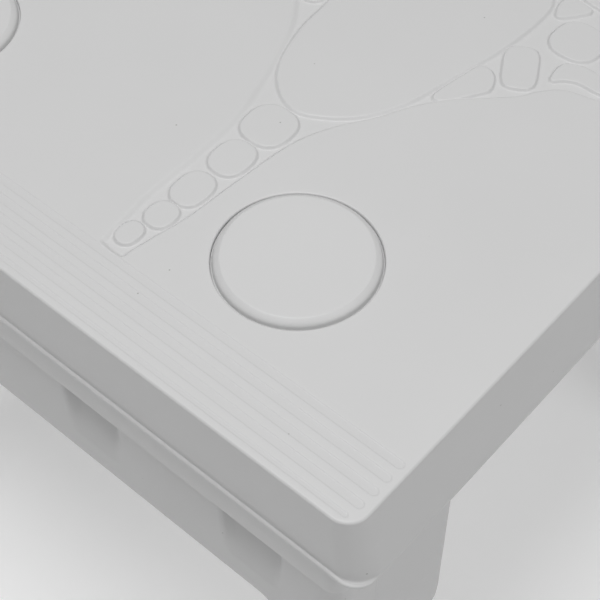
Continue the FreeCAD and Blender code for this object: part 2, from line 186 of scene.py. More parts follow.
# %% [markdown]
# The seat, legs and caps are blow-moulded polyethylene, a soft, slightly waxy plastic. Blowing it against a
# sand-blasted mould leaves a fine grain half a millimetre across, over a faint orange peel of a few millimetres.
# The pale grey drifts by a percent or two where the pigment is less well mixed, a few dark specks of pigment
# stay whole, and use leaves hairline scuffs that are a little shinier than the rest.

# %% Moulded polyethylene
def moulded_plastic(name, colour, dark, roughness, grain, seam=None):
    """Blow-moulded polyethylene. Grain is the height of its finest texture; seam is |y| of a parting line."""
    material, tree, shader = new_material(name, colour, IOR=1.51, Specular_IOR_Level=0.42)
    where = add(tree, "ShaderNodeTexCoord").outputs["Object"]
    drift = add(tree, "ShaderNodeTexNoise", {"Scale": per_mm(70.0), "Detail": 3.0}, {"Vector": where})
    cloud = add(tree, "ShaderNodeMix", {6: linear(dark), 7: linear(colour)}, {0: drift.outputs["Fac"]},
                data_type="RGBA")
    speck = add(tree, "ShaderNodeTexVoronoi", {"Scale": per_mm(17.0)}, {"Vector": where})
    spot = add(tree, "ShaderNodeMapRange", {"From Min": 0.014, "From Max": 0.028, "To Min": 1.0, "To Max": 0.0},
               {"Value": speck.outputs["Distance"]})
    spotted = add(tree, "ShaderNodeMix", {7: linear("9A9A98")}, {0: spot.outputs["Result"],
                                                                6: cloud.outputs[2]}, data_type="RGBA")
    tree.links.new(spotted.outputs[2], shader.inputs["Base Color"])

    streak_space = add(tree, "ShaderNodeMapping", {"Rotation": (0.0, 0.0, 0.9), "Scale": (1.0, 0.12, 1.0)},
                       {"Vector": where})
    streak = add(tree, "ShaderNodeTexNoise", {"Scale": per_mm(2.2), "Detail": 2.0},
                 {"Vector": streak_space.outputs["Vector"]})
    scuff = add(tree, "ShaderNodeMapRange", {"From Min": 0.62, "From Max": 0.75, "To Min": roughness,
                                             "To Max": roughness - 0.1}, {"Value": streak.outputs["Fac"]})
    tree.links.new(scuff.outputs["Result"], shader.inputs["Roughness"])

    peel = add(tree, "ShaderNodeTexNoise", {"Scale": per_mm(5.0), "Detail": 1.0}, {"Vector": where})
    fine = add(tree, "ShaderNodeTexNoise", {"Scale": per_mm(0.7), "Detail": 2.0}, {"Vector": where})
    soft = add(tree, "ShaderNodeBump", {"Strength": 0.35, "Distance": 0.00006}, {"Height": peel.outputs["Fac"]})
    sand = add(tree, "ShaderNodeBump", {"Strength": 0.5, "Distance": grain},
               {"Height": fine.outputs["Fac"], "Normal": soft.outputs["Normal"]})
    finish = sand
    if seam is not None:
        split = add(tree, "ShaderNodeSeparateXYZ", {}, {"Vector": where})
        side = add(tree, "ShaderNodeMath", {}, {0: split.outputs["Y"]}, operation="ABSOLUTE")
        away = add(tree, "ShaderNodeMath", {1: seam}, {0: side.outputs[0]}, operation="SUBTRACT")
        far = add(tree, "ShaderNodeMath", {}, {0: away.outputs[0]}, operation="ABSOLUTE")
        ridge = add(tree, "ShaderNodeMapRange", {"From Min": 0.0001, "From Max": 0.0006, "To Min": 1.0,
                                                 "To Max": 0.0}, {"Value": far.outputs[0]})
        finish = add(tree, "ShaderNodeBump", {"Strength": 0.6, "Distance": 0.0002},
                     {"Height": ridge.outputs["Result"], "Normal": sand.outputs["Normal"]})
    tree.links.new(finish.outputs["Normal"], shader.inputs["Normal"])
    return material


seat_plastic = moulded_plastic("moulded_polyethylene_seat", "CACACA", "C6C6C6", 0.46, 0.00004)
leg_plastic = moulded_plastic("moulded_polyethylene_legs", "C9C9C9", "C5C5C5", 0.5, 0.00005, seam=0.1735)
cap_plastic = moulded_plastic("moulded_polyethylene_caps", "CBCBCB", "C8C8C8", 0.44, 0.00003)
print("plastics:", seat_plastic.name, leg_plastic.name, cap_plastic.name)

# %% [markdown]
# A mould maker draws an outline, then gives it a wall of a certain slope. The helpers here do the same:
# a closed curve through a few corners, the distance of any point from it, and rows of points along it.
# Rows that follow each outline keep every edge crisp with far fewer faces than one even grid would need.

# %% Outlines and distances
def even_loop(loop, spacing):
    """The same closed line with its points at even steps along its length."""
    closed = np.vstack([loop, loop[:1]])
    along = np.concatenate([[0.0], np.cumsum(np.hypot(*np.diff(closed, axis=0).T))])
    steps = np.arange(round(along[-1] / spacing)) * along[-1] / round(along[-1] / spacing)
    return np.stack([np.interp(steps, along, closed[:, k]) for k in (0, 1)], axis=1)


def smooth_loop(corners, spacing=1.1):
    """A closed curve through the corners: between two corners, the cubic whose slope at each of them
    is half the step from the corner before to the corner after. It runs anticlockwise."""
    p = np.asarray(corners, float)
    if (p[:, 0] * np.roll(p[:, 1], -1) - np.roll(p[:, 0], -1) * p[:, 1]).sum() < 0:
        p = p[::-1]
    t = np.linspace(0.0, 1.0, 16, endpoint=False)[None, :, None]
    a, b, c, d = (np.roll(p, shift, axis=0)[:, None, :] for shift in (1, 0, -1, -2))
    curve = 0.5 * (2 * b + (c - a) * t + (2 * a - 5 * b + 4 * c - d) * t ** 2 + (3 * b - a - 3 * c + d) * t ** 3)
    return even_loop(curve.reshape(-1, 2), spacing)


def pebble(x, y, width, length, lean=0.0, square=2.5):
    """A rounded stone: |u / half width| ** square + |v / half length| ** square = 1, leaning by degrees."""
    t = np.linspace(0.0, 2 * np.pi, 120, endpoint=False)
    u = width / 2 * np.sign(np.cos(t)) * np.abs(np.cos(t)) ** (2 / square)
    v = length / 2 * np.sign(np.sin(t)) * np.abs(np.sin(t)) ** (2 / square)
    c, s = math.cos(math.radians(lean)), math.sin(math.radians(lean))
    return even_loop(np.stack([x + u * c - v * s, y + u * s + v * c], axis=1), 1.1)


def outward(loop):
    """The unit direction away from an anticlockwise loop at each of its points."""
    step = np.roll(loop, -1, axis=0) - np.roll(loop, 1, axis=0)
    return np.stack([step[:, 1], -step[:, 0]], axis=1) / np.hypot(*step.T)[:, None]


def depth_inside(loop, x, y):
    """How far each point lies inside a loop, negative outside, and the side of the loop nearest to it.
    The distance is the least to any side; the sign comes from how many sides a ray to the right crosses."""
    start, run = loop, np.roll(loop, -1, axis=0) - loop
    depth, nearest = np.empty(len(x)), np.empty(len(x), int)
    for part in np.array_split(np.arange(len(x)), len(x) // 4000 + 1):
        dx, dy = x[part, None] - start[:, 0], y[part, None] - start[:, 1]
        share = np.clip((dx * run[:, 0] + dy * run[:, 1]) / (run ** 2).sum(axis=1), 0.0, 1.0)
        gap = np.hypot(dx - share * run[:, 0], dy - share * run[:, 1])
        nearest[part] = gap.argmin(axis=1)
        height = np.where(run[:, 1] == 0.0, 1.0, run[:, 1])
        crossed = ((dy < 0) != (dy - run[:, 1] < 0)) & (dx < dy * run[:, 0] / height)
        depth[part] = gap.min(axis=1) * np.where(crossed.sum(axis=1) % 2 == 1, 1.0, -1.0)
    return depth, nearest


def ease(t):
    """0 below 0, 1 above 1 and a smooth S between: 3 t squared less 2 t cubed."""
    t = np.clip(t, 0.0, 1.0)
    return t * t * (3.0 - 2.0 * t)


# %% [markdown]
# The seat's top carries a stream bed a little over a millimetre deep, winding from the front tread strip to the rear.
# Pebbles and one large egg-shaped stone stand in it at the height of the seat. The stream's left bank is a
# gentle slope and its right bank a steep one. At the front the stream runs out into the first flute of the strip.
# These are only outlines: the next cells turn them to heights.

# %% Stream bed, stone and pebbles
STREAM_DEPTH = 1.35
LEFT_BANK_WIDTH, RIGHT_BANK_WIDTH, STONE_SLOPE, PEBBLE_SLOPE = 3.6, 1.6, 2.0, 1.5
PEBBLE_SCALE, ANGULAR_SCALE = 0.93, 0.87
right_bank = [(52.5, -167.6), (54, -162), (56, -150), (59, -134), (61, -107), (64, -77), (71, -58), (81, -42),
              (89, -26), (98, -13), (109, -2), (120, 9), (125, 17), (133, 25), (147, 29), (162, 35), (174, 45),
              (180, 58), (174, 70), (158, 75), (141, 77), (124, 79), (107, 80.5), (92, 86), (79, 95),
              (69, 108), (63, 124), (61, 142), (62, 160), (58, 172)]
left_bank = [(51, 175), (46, 166), (45, 152), (38, 141), (22, 136), (6, 124), (-6, 106), (-16, 88),
             (-32, 76), (-56, 70), (-86, 69), (-118, 74), (-148, 84), (-170, 90), (-180, 84), (-174, 75),
             (-152, 66), (-122, 55), (-92, 49), (-64, 47), (-42, 41), (-24, 28), (-9, 9), (5, -8),
             (15, -23), (23, -42), (28, -58), (34, -80), (36, -107), (36, -134), (38, -152),
             (39.3, -163), (41, -167.6)]
stream = smooth_loop(right_bank + left_bank)
stone = smooth_loop([(98, 55), (96, 68), (87, 79), (73, 88), (61, 101), (53, 115), (43, 126), (30, 127),
                     (19, 115), (13, 93), (11, 66), (12, 40), (14, 18), (18, 1), (20, -18), (26, -39),
                     (36, -53), (51, -60), (66, -53), (77, -42), (85, -26), (90, -4), (94, 15), (97, 33)])
pebbles = [pebble(x, y, PEBBLE_SCALE * width, PEBBLE_SCALE * length, *lean_and_square)
           for x, y, width, length, *lean_and_square in (
               (46.0, -155.8, 10, 13), (49.2, -140.4, 13, 15), (49.2, -121.9, 16, 21), (49.9, -98.4, 18, 22),
               (49.2, -74.3, 24, 25), (109.8, 24.6, 16, 28, 30, 3.8), (119.8, 55.0, 25, 25, 0, 2.7),
               (146.5, 60, 21, 19, 8), (165, 59, 12, 17, -12), (7.5, 5, 14, 17, 12), (-2.5, 27, 17, 19, 20),
               (-12, 51, 22, 22, 15), (-37, 57, 23, 21, -8), (-60, 58.5, 18, 16), (-80, 58.5, 17, 14, 4),
               (-100, 60.5, 18, 13, -8), (-121, 65, 19, 13, -14), (-142, 72, 18, 12, -18), (-160, 79, 13, 10, -16),
               (-2, 76, 17, 21, -6), (1, 98, 14, 17, -14), (10.5, 115.5, 11, 12, -30), (26, 131.8, 14, 6.5, -10),
               (52.5, 134, 12, 15, 4), (53.5, 151.5, 11, 14, -4), (54, 166, 8, 9))]
# three angular stones, each drawn in towards its own middle so that it stands clear of the banks
pebbles += [smooth_loop(ANGULAR_SCALE * np.array(corners) + (1 - ANGULAR_SCALE) * np.mean(corners, axis=0))
            for corners in (
    [(104, 15), (96, 16), (93, 4), (90.5, -14), (93, -17.5), (99, -12), (106, -1), (109, 6)],
    [(123, 25.5), (121, 31), (121.5, 39), (129, 43.5), (142, 44), (156, 46), (163, 43), (157, 37),
     (146, 33.5), (134, 33), (127, 29.5)],
    [(114, 76), (106.5, 78), (99.5, 77), (98.8, 69), (103, 61.5), (109, 67)])]
is_left = depth_inside(smooth_loop([*left_bank, (20, -100), (30, 60)]), *stream.T)[0] > -3.0
bank_width = np.where(is_left, LEFT_BANK_WIDTH, RIGHT_BANK_WIDTH)
smoother = np.hanning(41) / np.hanning(41).sum()
bank_width = np.convolve(np.concatenate([bank_width[-20:], bank_width, bank_width[:20]]), smoother, "valid")
print("stream outline:", len(stream), "points;", len(pebbles), "pebbles")


# %% [markdown]
# The height of the top is one function of x and y, in four parts that are simply subtracted: the stream bed,
# the five flutes of the tread strip, the soft fall of the two side edges, and a slight wave of the kind that
# blown plastic has as it cools. Each flute is steep on its far side and comes up slowly on its near side.

# %% Height of the seat's top
FLUTE_LINES = np.array([-167.4, -174.75, -182.1, -189.45, -196.8])
FLUTE_WIDTH = np.array([4.6, 4.6, 4.6, 4.6, 3.0])
FLUTE_END = np.array([199.0, 199.0, 199.0, 198.4, 196.6])
FLUTE_DEPTH, FLUTE_WALL = 0.42, 0.8
EDGE_FALL_START, EDGE_FALL_END, EDGE_FALL = 186.0, 201.0, 0.35


def stream_depth(x, y):
    """Depth below the seat's top: the least of the eased distances from the bank, the stone and each pebble,
    each divided by the width of its own slope, times the depth of the bed."""
    inside, side = depth_inside(stream, x, y)
    share = ease(inside / bank_width[side])
    wet = np.flatnonzero(share > 0)
    for loop, slope in [(stone, STONE_SLOPE)] + [(loop, PEBBLE_SLOPE) for loop in pebbles]:
        low, high = loop.min(axis=0) - slope, loop.max(axis=0) + slope
        near = wet[(x[wet] > low[0]) & (x[wet] < high[0]) & (y[wet] > low[1]) & (y[wet] < high[1])]
        outside = -depth_inside(loop, x[near], y[near])[0]
        share[near] = np.minimum(share[near], ease(outside / slope))
    return STREAM_DEPTH * share


def flute_depth(x, y):
    """Depth of the flutes: each is a long slot with round ends. Its floor is deepest beside the far line and
    rises in a straight slope to a third of that at the near one, and its edge eases in over FLUTE_WALL."""
    depth = np.zeros(len(x))
    for line, width, end in zip(FLUTE_LINES, FLUTE_WIDTH, FLUTE_END):
        radius = width / 2
        beyond = np.maximum(np.abs(x) - (end - radius), 0.0)
        inside = radius - np.hypot(beyond, y - (line - radius))
        rise = 1.0 - 0.65 * np.clip((line - y) / width, 0.0, 1.0)
        depth = np.maximum(depth, FLUTE_DEPTH * ease(inside / FLUTE_WALL) * rise)
    return depth


def top_height(x, y):
    """Height of the top: the flat level less the stream or flutes, less the squared fall of the side edges,
    less a wave a tenth of a millimetre deep."""
    fall = EDGE_FALL * np.clip((np.abs(x) - EDGE_FALL_START) / (EDGE_FALL_END - EDGE_FALL_START), 0, 1) ** 2
    wave = 0.05 * (2.0 - np.cos(x / 31.0 + 0.6) * np.cos(y / 43.0) - np.cos((x + y) / 61.0))
    return TOP - np.maximum(stream_depth(x, y), flute_depth(x, y)) - fall - wave


print("bed, flute and flat:", top_height(np.array([40.0, 0.0, -60.0]), np.array([-110.0, -168.2, -60.0])).round(2))

# %% [markdown]
# The rim is one profile carried round the seat's rounded rectangle, as a mould closes on it: a small round at
# the top, a face that leans out, a thin bead at the lip, the underside of the lip, and a band set back below.
# Every ring has the same number of points at the same places round the corners, so rings join into quads.

# %% Rim rings
CORNER_STEPS, SIDE_STEPS = 12, 80


def rectangle_ring(half_x, half_y, radius):
    """A rounded rectangle, anticlockwise: four straight sides of even steps, four quarter circles of even angles."""
    turn = np.linspace(0.0, np.pi / 2, CORNER_STEPS + 1)
    points = []
    for quarter in range(4):
        sign = np.array([[1, 1], [-1, 1], [-1, -1], [1, -1]])[quarter]
        middle = sign * (np.array([half_x, half_y]) - radius)
        angle = turn + quarter * np.pi / 2
        arc = middle + radius * np.stack([np.cos(angle), np.sin(angle)], axis=1)
        following = np.array([[-1, 1], [-1, -1], [1, -1], [1, 1]])[quarter]
        target = following * (np.array([half_x, half_y]) - radius)
        angle_next = (quarter + 1) * np.pi / 2
        end = target + radius * np.array([math.cos(angle_next), math.sin(angle_next)])
        share = np.linspace(0.0, 1.0, SIDE_STEPS + 1)[1:-1, None]
        points += [arc, arc[-1] + (end - arc[-1]) * share]
    return np.vstack(points)


FACE_X, FACE_Y = 201.9, 202.9
EDGE_ROUND = 1.3
# the face's corners open out towards the lip, and the lip's are tighter, so its ledge is wider at the corners
TOP_CORNER, FACE_CORNER_GAIN, LIP_CORNER, BAND_CORNER = 10.0, 3.0, 10.0, 8.0
LIP_X, LIP_Y, LIP_Z, LEDGE = deck_high[0], deck_high[1], 341.0, 1.5
BAND_X, BAND_Y = 196.5, 202.0
lean = np.radians(np.linspace(0.0, 78.0, 8))
rim_rows = [(FACE_X - EDGE_ROUND + EDGE_ROUND * s, FACE_Y - EDGE_ROUND + EDGE_ROUND * s,
             TOP_CORNER - EDGE_ROUND + EDGE_ROUND * s, TOP - EDGE_ROUND * (1 - c), 1.0)
            for s, c in zip(np.sin(lean), np.cos(lean))]
face_top = rim_rows[-1]
for share in (0.04, 0.1, 0.3, 0.5, 0.7, 0.85, 0.94, 1.0):
    rim_rows.append((face_top[0] + (LIP_X - 0.3 - face_top[0]) * share,
                     face_top[1] + (LIP_Y - LEDGE - face_top[1]) * share,
                     TOP_CORNER + FACE_CORNER_GAIN * share,
                     face_top[3] + (LIP_Z + 2.7 - face_top[3]) * share, 1.0 - share))
for out_x, out_y, up in ((0.28, LEDGE - 0.05, 2.3), (0.22, LEDGE - 0.2, 2.12), (0.12, LEDGE - 0.4, 2.0),
                         (0.04, 0.6, 1.85), (0.0, 0.3, 1.7), (0.0, 0.08, 1.5),
                         (0.0, 0.0, 1.2), (0.0, 0.0, 0.9), (0.0, 0.0, 0.4),
                         (0.1, 0.1, 0.12), (0.35, 0.35, 0.0), (0.8, 0.8, 0.0)):
    rim_rows.append((LIP_X - out_x, LIP_Y - out_y, LIP_CORNER, LIP_Z + up, 0.0))
rim_rows += [(BAND_X + 2.2, BAND_Y + 0.7, 9.0, LIP_Z + 0.2, 0.0), (BAND_X + 1.2, BAND_Y + 0.25, 8.5, LIP_Z, 0.0),
             (BAND_X + 0.3, BAND_Y, BAND_CORNER, LIP_Z - 0.6, 0.0), (BAND_X, BAND_Y, BAND_CORNER, LIP_Z - 1.8, 0.0),
             (BAND_X, BAND_Y, BAND_CORNER, LIP_Z - 4.0, 0.0), (BAND_X, BAND_Y, BAND_CORNER, UNDERSIDE + 4.0, 0.0)]
for turn in np.radians(np.linspace(0.0, 90.0, 6)):
    out = 2.0 * (math.cos(turn) - 1.0)
    rim_rows.append((BAND_X + out, BAND_Y + out, BAND_CORNER + out, UNDERSIDE + 2.0 - 2.0 * math.sin(turn), 0.0))
rim_rings = []
for half_x, half_y, radius, z, follow in rim_rows:
    ring = rectangle_ring(half_x, half_y, radius)
    rim_rings.append(np.column_stack([ring, np.full(len(ring), z)]))
top_edge = rim_rings[0][:, :2]
fall_at_edge = TOP - top_height(*top_edge.T)
for row, ring in zip(rim_rows, rim_rings):
    ring[:, 2] -= fall_at_edge * row[4]
print("rim:", len(rim_rings), "rings of", len(top_edge), "points")

# %% [markdown]
# The top and the underside are flat sheets with holes, so their faces come from a Delaunay triangulation: given
# points and the edges that must stay, it joins each point to its neighbours and leaves no thin slivers.
# Points are thick along each outline and thin on the flat, and the height function then lifts them.

# %% Sheets with holes
def circle(x, y, radius, count):
    """That many points evenly round a circle, anticlockwise."""
    angle = np.arange(count) * 2 * np.pi / count
    return np.stack([x + radius * np.cos(angle), y + radius * np.sin(angle)], axis=1)


def sheet_with_holes(edge, holes, points):
    """Triangulates the points between an outer loop and round holes, given as x, y, radius and point count."""
    loops = [edge] + [circle(*hole) for hole in holes]
    first = np.cumsum([0] + [len(loop) for loop in loops])
    must = [np.stack([np.arange(len(loop)), np.roll(np.arange(len(loop)), -1)], axis=1) + start
            for loop, start in zip(loops, first)]
    for x, y, radius, _ in holes:
        points = points[np.hypot(points[:, 0] - x, points[:, 1] - y) > radius + 0.4]
    keep = depth_inside(edge, *points.T)[0] > 0.4
    points = points[keep]
    thin = np.unique((points / 0.12).round().astype(int), axis=0, return_index=True)[1]
    everything = np.vstack(loops + [points[np.sort(thin)]])
    vertices, _, faces, *_ = delaunay_2d_cdt([Vector(p) for p in everything.tolist()],
                                             np.vstack(must).tolist(), [], 1, 1e-4, False)
    vertices, faces = np.array(vertices), np.array(faces)
    middle = vertices[faces].mean(axis=1)
    for x, y, radius, count in holes:
        solid = np.hypot(middle[:, 0] - x, middle[:, 1] - y) > radius * math.cos(math.pi / count) - 1e-3
        faces, middle = faces[solid], middle[solid]
    return vertices, faces


def rows_beside(loop, widths, shares):
    """Copies of a loop moved outward by each share of a width, which may change along the loop."""
    return np.vstack([loop + outward(loop) * (share * widths)[:, None] for share in shares])


SHARES = np.array([-0.3, 0.0, 0.2, 0.4, 0.6, 0.8, 1.0, 1.3])
rows = [rows_beside(stream, bank_width, -SHARES), rows_beside(stone, np.full(len(stone), STONE_SLOPE), SHARES)]
rows += [rows_beside(loop, np.full(len(loop), PEBBLE_SLOPE), SHARES) for loop in pebbles]
# the first flute has closer points where the stream runs into it
STREAM_MOUTH = (32.0, 62.0)
for line, width, end in zip(FLUTE_LINES, FLUTE_WIDTH, FLUTE_END):
    radius = width / 2
    across = line - np.array([-0.3, 0.0, 0.2, 0.4, 0.6, 0.8, 1.1, radius, width - 1.1, width - 0.8, width - 0.6,
                              width - 0.4, width - 0.2, width, width + 0.3])
    along = np.linspace(-(end - radius), end - radius, 98)
    if line == FLUTE_LINES[0]:
        along = np.concatenate([along[(along < STREAM_MOUTH[0]) | (along > STREAM_MOUTH[1])],
                                np.arange(*STREAM_MOUTH, 0.8)])
    rows.append(np.stack(np.meshgrid(along, across), axis=-1).reshape(-1, 2))
    reach = radius - np.array([-0.3, 0.0, 0.2, 0.4, 0.6, 0.8, 1.1])
    angle = np.radians(np.linspace(-84.0, 84.0, 15))[:, None]
    for side in (-1, 1):
        rows.append(np.stack([side * (end - radius + reach * np.cos(angle)), line - radius + reach * np.sin(angle)],
                             axis=-1).reshape(-1, 2))
edge_x = np.array([185.0, 187.5, 190.0, 192.5, 195.0, 197.5, 199.8])
edge_y = np.linspace(-160.0, 196.0, 60)
rows += [np.stack(np.meshgrid(side * edge_x, edge_y), axis=-1).reshape(-1, 2) for side in (-1, 1)]
plain_x, plain_y = np.meshgrid(np.arange(-176.0, 177.0, 8.0), np.arange(-160.0, 196.0, 8.0))
rows.append(np.stack([plain_x.ravel(), plain_y.ravel()], axis=1))

WELL_EDGE = 0.9
wells = [(cap_centre[corner][0], cap_centre[corner][1], SEAT_RADIUS + WELL_EDGE, 96) for corner in CORNERS]
rows += [circle(x, y, radius + gap, count) for x, y, radius, count in wells for gap in (1.5, 4.5)]
top_points, top_faces = sheet_with_holes(top_edge, wells, np.vstack(rows))
top_vertices = np.column_stack([top_points, top_height(*top_points.T)])
print("top:", len(top_vertices), "points,", len(top_faces), "triangles")

# %% [markdown]
# Below, the seat is closed. Four bolt wells run down through it, each one profile turned round its centre:
# the rounded mouth, the ledge the cap sits on, the wide bore, the floor with its bolt hole, and the recess
# that takes the leg frame's boss. Eleven hollow cones come up from the underside until they touch the top,
# which is how a blown box is made stiff: the two walls are pinched together there.

# %% Turned profiles and their faces
def turned(x, y, profile, count):
    """Each radius and height of the profile carried round a centre: x + r cos a, y + r sin a, z."""
    rings = [np.column_stack([circle(x, y, radius, count), np.full(count, z)]) for radius, z in profile]
    return np.vstack(rings)


def ring_faces(rows_count, count):
    """Quads between neighbouring rings of one point count, ring after ring."""
    at = np.arange((rows_count - 1) * count).reshape(rows_count - 1, count)
    following = np.roll(at, -1, axis=1)
    return np.stack([at, following, following + count, at + count], axis=-1).reshape(-1, 4)


def quarter(middle_radius, middle_z, radius, start, stop, steps=6):
    """Points of an arc in a profile, from one angle to another in degrees."""
    angle = np.radians(np.linspace(start, stop, steps))
    return list(zip(middle_radius + radius * np.cos(angle), middle_z + radius * np.sin(angle)))


def collect(parts):
    """Joins several sets of points and faces into one list of each."""
    start, points, faces = 0, [], []
    for part_points, part_faces in parts:
        points.append(part_points)
        faces += [(np.asarray(group) + start).tolist() for group in part_faces]
        start += len(part_points)
    return np.vstack(points), [face for group in faces for face in group]


def shade_by_area(mesh):
    """Smooth shading whose normal at a point is the sum of its faces' normals times their areas, so a small
    round beside a large flat face leaves the flat face flat."""
    sizes = [len(mesh.polygons), len(mesh.loops), len(mesh.vertices)]
    normal, area = np.empty(sizes[0] * 3), np.empty(sizes[0])
    total, owner = np.empty(sizes[0], int), np.empty(sizes[1], int)
    mesh.polygons.foreach_get("normal", normal)
    mesh.polygons.foreach_get("area", area)
    mesh.polygons.foreach_get("loop_total", total)
    mesh.loops.foreach_get("vertex_index", owner)
    share = np.repeat(normal.reshape(-1, 3) * area[:, None], total, axis=0)
    at_point = np.stack([np.bincount(owner, share[:, k], sizes[2]) for k in range(3)], axis=1)
    at_point /= np.maximum(np.linalg.norm(at_point, axis=1), 1e-12)[:, None]
    mesh.shade_smooth()
    mesh.normals_split_custom_set_from_vertices(at_point.tolist())


def make_piece(name, points_mm, faces, material, slot, nodes, normals=None):
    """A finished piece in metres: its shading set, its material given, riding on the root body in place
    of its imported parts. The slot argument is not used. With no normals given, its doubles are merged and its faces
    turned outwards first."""
    mesh = bpy.data.meshes.new(name)
    mesh.from_pydata((np.asarray(points_mm) / 1000.0).tolist(), [], faces)
    work = bmesh.new()
    work.from_mesh(mesh)
    if normals is None:
        bmesh.ops.remove_doubles(work, verts=work.verts, dist=0.00002)
        bmesh.ops.recalc_face_normals(work, faces=work.faces)
        work.to_mesh(mesh)
        mesh.update()
    open_edges = sum(not edge.is_manifold for edge in work.edges)
    work.free()
    if normals is None:
        shade_by_area(mesh)
    else:
        mesh.shade_smooth()
        mesh.normals_split_custom_set_from_vertices(normals.tolist())
    mesh.materials.append(material)
    piece = bpy.data.objects.new(name, mesh)
    bpy.context.scene.collection.objects.link(piece)
    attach(piece, "root")
    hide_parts(*nodes)
    triangles = sum(len(polygon.vertices) - 2 for polygon in mesh.polygons)
    print(f"{name}: {triangles} triangles, {open_edges} open edges")


# %% [markdown]
# Now the seat is put together: the top and its rim, the wells, the cones, and a flat sheet with holes below.
# All of it goes into one mesh, because the real seat is one moulding with no joint anywhere.

# %% Wells, cones and the underside
LEDGE_Z, WELL_FLOOR_Z, RECESS_Z = 373.5, 336.0, 332.0
WELL_BORE, BOLT_HOLE, RECESS_RADIUS = 31.2, 4.5, 29.5
well_profile = quarter(SEAT_RADIUS + WELL_EDGE, TOP - WELL_EDGE, WELL_EDGE, 90, 180) + [
    (SEAT_RADIUS, LEDGE_Z + 0.8), (SEAT_RADIUS - 0.3, LEDGE_Z + 0.2), (SEAT_RADIUS - 0.9, LEDGE_Z),
    (WELL_BORE + 0.5, LEDGE_Z), (WELL_BORE, LEDGE_Z - 0.5), (WELL_BORE, WELL_FLOOR_Z + 2.0),
    (WELL_BORE - 0.6, WELL_FLOOR_Z + 0.6), (WELL_BORE - 2.0, WELL_FLOOR_Z), (BOLT_HOLE, WELL_FLOOR_Z),
    (BOLT_HOLE, RECESS_Z), (RECESS_RADIUS - 1.0, RECESS_Z), (RECESS_RADIUS, RECESS_Z - 1.0),
    (RECESS_RADIUS, UNDERSIDE + 1.0), (RECESS_RADIUS + 0.3, UNDERSIDE + 0.3), (RECESS_RADIUS + 1.0, UNDERSIDE)]
parts = [(top_vertices, [top_faces]), (np.vstack(rim_rings), [ring_faces(len(rim_rings), len(top_edge))])]
for x, y, radius, count in wells:
    rings = turned(x, y, well_profile, count)
    rings[:count, 2] = top_height(*rings[:count, :2].T)
    parts.append((rings, [ring_faces(len(well_profile), count)]))

CONE_MOUTH, CONE_TIP_Z, CONE_COUNT = 11.0, 372.5, 36
cone_profile = [(CONE_MOUTH + 2.0, UNDERSIDE), (CONE_MOUTH + 1.0, UNDERSIDE + 0.3),
                (CONE_MOUTH + 0.3, UNDERSIDE + 1.0), (CONE_MOUTH, UNDERSIDE + 2.4),
                (CONE_MOUTH - 2.6, CONE_TIP_Z - 5.0)] + quarter(
                    CONE_MOUTH - 6.0, CONE_TIP_Z - 3.4, 3.4, 10, 90) + [(1.4, CONE_TIP_Z)]
cones = [(x, y) for y in (-124.0, -62.0, 0.0, 62.0, 124.0) for x in (-62.0, 0.0, 62.0)
         if not (abs(x) == 62.0 and abs(y) == 124.0)]
for x, y in cones:
    rings = turned(x, y, cone_profile, CONE_COUNT)
    last = (len(cone_profile) - 1) * CONE_COUNT
    parts.append((rings, [ring_faces(len(cone_profile), CONE_COUNT), np.arange(last, last + CONE_COUNT)[None, :]]))
below_x, below_y = np.meshgrid(np.arange(-184.0, 185.0, 16.0), np.arange(-192.0, 193.0, 16.0))
below_holes = [(x, y, RECESS_RADIUS + 1.0, count) for x, y, _, count in wells]
below_holes += [(x, y, CONE_MOUTH + 2.0, CONE_COUNT) for x, y in cones]
below, below_faces = sheet_with_holes(rim_rings[-1][:, :2], below_holes,
                                      np.stack([below_x.ravel(), below_y.ravel()], axis=1))
parts.append((np.column_stack([below, np.full(len(below), UNDERSIDE)]), [below_faces]))
make_piece("seat_moulding", *collect(parts), seat_plastic, "deck_plastic", ["seat_deck"])

# %% [markdown]
# Each cap is one profile turned round its well's centre: a very slightly dished top, a sloping shoulder that
# steepens into a shallow groove beside the seat, a short side, and a hollow skirt that grips the bore. A turned
# surface suits it, because the real cap is moulded in a round cavity and has no other feature.

# %% Well caps
SHOULDER, CAP_COUNT = 3.92, 128
cap_top, cap_foot = cap_box["front_right"][1][2], cap_box["front_right"][0][2]
cap_radius = SEAT_RADIUS - 0.08
SKIRT_RADIUS, SKIRT_WALL = 30.8, 2.2
cap_flat = cap_radius - SHOULDER
shoulder = [(cap_flat + out, cap_top - down) for out, down in (
    (0.12, 0.03), (0.35, 0.14), (0.8, 0.4), (1.4, 0.78), (2.0, 1.2), (2.45, 1.62), (2.75, 2.05), (2.95, 2.5),
    (3.1, 3.0), (3.2, 3.5), (3.32, 3.8), (3.5, 4.0), (3.7, 4.05), (SHOULDER, 4.1))]
DISH = 0.2
dish = [(radius, cap_top - DISH * (1 - (radius / cap_flat) ** 2) ** 2)
        for radius in np.linspace(0.8, cap_flat - 0.3, 16)]
cap_profile = dish + shoulder + [
    (cap_radius, LEDGE_Z + 0.6), (cap_radius - 0.3, LEDGE_Z + 0.1), (cap_radius - 0.9, LEDGE_Z + 0.02),
    (SKIRT_RADIUS, LEDGE_Z + 0.02), (SKIRT_RADIUS, cap_foot + 0.6), (SKIRT_RADIUS - 0.6, cap_foot + 0.02),
    (SKIRT_RADIUS - SKIRT_WALL, cap_foot + 0.02), (SKIRT_RADIUS - SKIRT_WALL, cap_top - 4.0),
    (SKIRT_RADIUS - SKIRT_WALL - 2.0, cap_top - 3.0), (0.8, cap_top - 3.0)]
